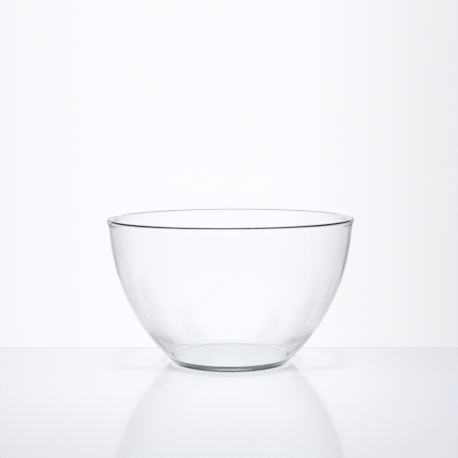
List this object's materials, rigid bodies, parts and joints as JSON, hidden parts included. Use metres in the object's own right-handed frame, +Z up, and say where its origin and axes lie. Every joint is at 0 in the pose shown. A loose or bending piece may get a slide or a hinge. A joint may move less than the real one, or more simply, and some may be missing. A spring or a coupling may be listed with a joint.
{
  "type": "crystallizing dish",
  "caption": "Round clear glass dish with a flat base, a flaring curved wall and a fire-polished rim, for evaporating or crystallizing liquids.",
  "frame": {"origin": "centre of the flat underside, which stands on Z = 0", "axes": "+Z up along the dish's axis, out of its mouth; the dish is round, so X and Y are any two directions across it"},
  "size_m": [0.2, 0.2, 0.117],
  "materials": {
    "glass": "clear, colourless, fire-polished; faint blue-green in the thick edge of the base"
  },
  "bodies": {
    "root": {"glass_dish": "glass"}
  },
  "joints": []
}
